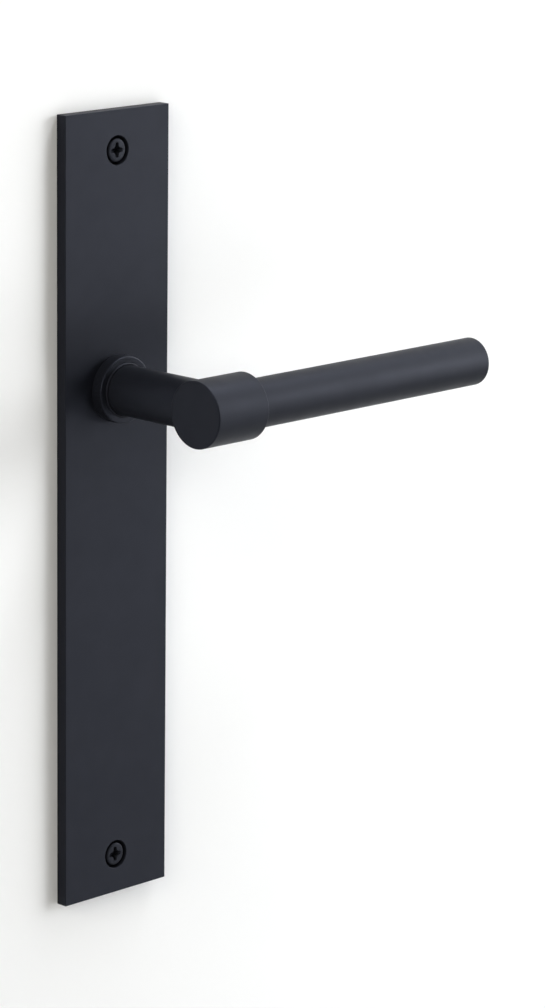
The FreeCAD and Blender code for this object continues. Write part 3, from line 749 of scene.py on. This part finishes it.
def make_stage():
    """A pale door face and a pale floor under it."""
    low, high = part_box("backplate")
    half, y = BOARD_HALF, BOARD_Y
    left, right = low[0] + OPENING_INSET, high[0] - OPENING_INSET
    foot, top = low[2] + OPENING_INSET, high[2] - OPENING_INSET
    outside = [(-half, y, -half), (half, y, -half), (half, y, half), (-half, y, half)]
    opening = [(left, y, foot), (right, y, foot), (right, y, top), (left, y, top)]
    sheet_of_stage("door_face", outside + opening, FOUR_SIDES, pale_sheet("pale_door_face", 0.95))
    half, z = FLOOR_HALF, FLOOR_Z
    floor = [(-half, -half, z), (half, -half, z), (half, half, z), (-half, half, z)]
    sheet_of_stage("floor", floor, [(0, 1, 2, 3)], pale_sheet("pale_floor", 0.5))


# Strengths of the world's light, and the Y of a direction where one strength begins to turn into
# the other and where it has turned
DARK_FRONT, PALE_ROUND = 0.02, 0.50
FRONT_ENDS, ROUND_STARTS = -0.40, 0.05

LIGHT_DISTANCE = 2.0
LIGHT_TARGET = Vector((0.03, 0, -0.04))
DAYLIGHT = (0.96, 0.98, 1.0)
WARM = (1.0, 0.96, 0.86)

# Each soft box: azimuth and elevation in degrees, its side in metres, its power in watts, its colour
SOFT_BOXES = {
    "right_high": (60, 65, 0.7, 33.5, DAYLIGHT),
    "right_side": (75, 25, 0.7, 9.0, DAYLIGHT),
    "right_low": (65, 5, 1.2, 28.5, DAYLIGHT),
    "right_front": (50, 15, 0.7, 7.0, DAYLIGHT),
    "right_under": (40, -20, 0.7, 4.0, DAYLIGHT),
    "left_high": (-60, 35, 0.7, 7.5, WARM),
    "left_side": (-80, 20, 0.7, 15.0, WARM),
    "left_front": (-60, 5, 0.7, 5.0, WARM),
    "behind_right": (150, 30, 1.2, 20.0, DAYLIGHT),
    "behind_left": (-140, 30, 1.2, 20.0, DAYLIGHT),
}


def make_world():
    """A dim studio in front of the handle that turns pale behind it, and a pale backdrop all round."""
    world = bpy.data.worlds.new("world")
    bpy.context.scene.world = world
    world.use_nodes = True
    nodes, links = world.node_tree.nodes, world.node_tree.links
    background = nodes["Background"]
    background.inputs["Color"].default_value = (1, 1, 1, 1)
    direction = nodes.new("ShaderNodeSeparateXYZ")
    links.new(nodes.new("ShaderNodeTexCoord").outputs["Generated"], direction.inputs[0])
    strength = nodes.new("ShaderNodeMapRange")
    strength.interpolation_type = "SMOOTHSTEP"
    strength.inputs["From Min"].default_value = FRONT_ENDS
    strength.inputs["From Max"].default_value = ROUND_STARTS
    strength.inputs["To Min"].default_value = DARK_FRONT
    strength.inputs["To Max"].default_value = PALE_ROUND
    links.new(direction.outputs["Y"], strength.inputs["Value"])
    seen = nodes.new("ShaderNodeMath")
    seen.operation = "MULTIPLY"
    links.new(nodes.new("ShaderNodeLightPath").outputs["Is Camera Ray"], seen.inputs[0])
    seen.inputs[1].default_value = PALE_ROUND
    paler = nodes.new("ShaderNodeMath")
    paler.operation = "MAXIMUM"
    links.new(strength.outputs["Result"], paler.inputs[0])
    links.new(seen.outputs[0], paler.inputs[1])
    links.new(paler.outputs[0], background.inputs["Strength"])


def make_lights():
    """Square soft boxes, all facing the same point on the handle from the same distance."""
    for name, (azimuth, elevation, side, power, colour) in SOFT_BOXES.items():
        around, above = math.radians(azimuth), math.radians(elevation)
        flat = math.cos(above)
        way = Vector((math.sin(around) * flat, -math.cos(around) * flat, math.sin(above)))
        data = bpy.data.lights.new(name, "AREA")
        data.shape = "SQUARE"
        data.size = side
        data.energy = power
        data.color = colour
        light = bpy.data.objects.new(name, data)
        light.location = LIGHT_TARGET + way * LIGHT_DISTANCE
        light.rotation_mode = "QUATERNION"
        light.rotation_quaternion = (-way).to_track_quat("-Z", "Y")
        bpy.context.scene.collection.objects.link(light)


# ---------------------------------------------------------------- the scene

make_camera()
make_stage()
make_world()
make_lights()
bpy.context.scene.view_settings.view_transform = "Standard"

MATERIALS = {
    "black_coat": black_coat(),
    "black_screw": black_screw(),
    "nylon": nylon(),
    "zinc_plate": zinc_plate(),
    "bare_steel": machined_steel(
        "bare_steel", (0.34, 0.34, 0.35), (0.46, 0.46, 0.47), 0.34, (900, 2600, 900)
    ),
    "spring_steel": machined_steel(
        "spring_steel", (0.20, 0.20, 0.22), (0.32, 0.32, 0.33), 0.38, (1400, 1400, 1400)
    ),
}

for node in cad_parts.values():
    slot = node.data.materials[0].name.split(".")[0]
    node.data.materials[0] = MATERIALS[slot]

make_backplate()
make_collar()
make_bush()
make_grip()
for label in FIXING_SCREWS:
    make_fixing_screw(label)
for label in HOUSING_SCREWS:
    make_housing_screw(label)
make_studs()
make_return_spring()
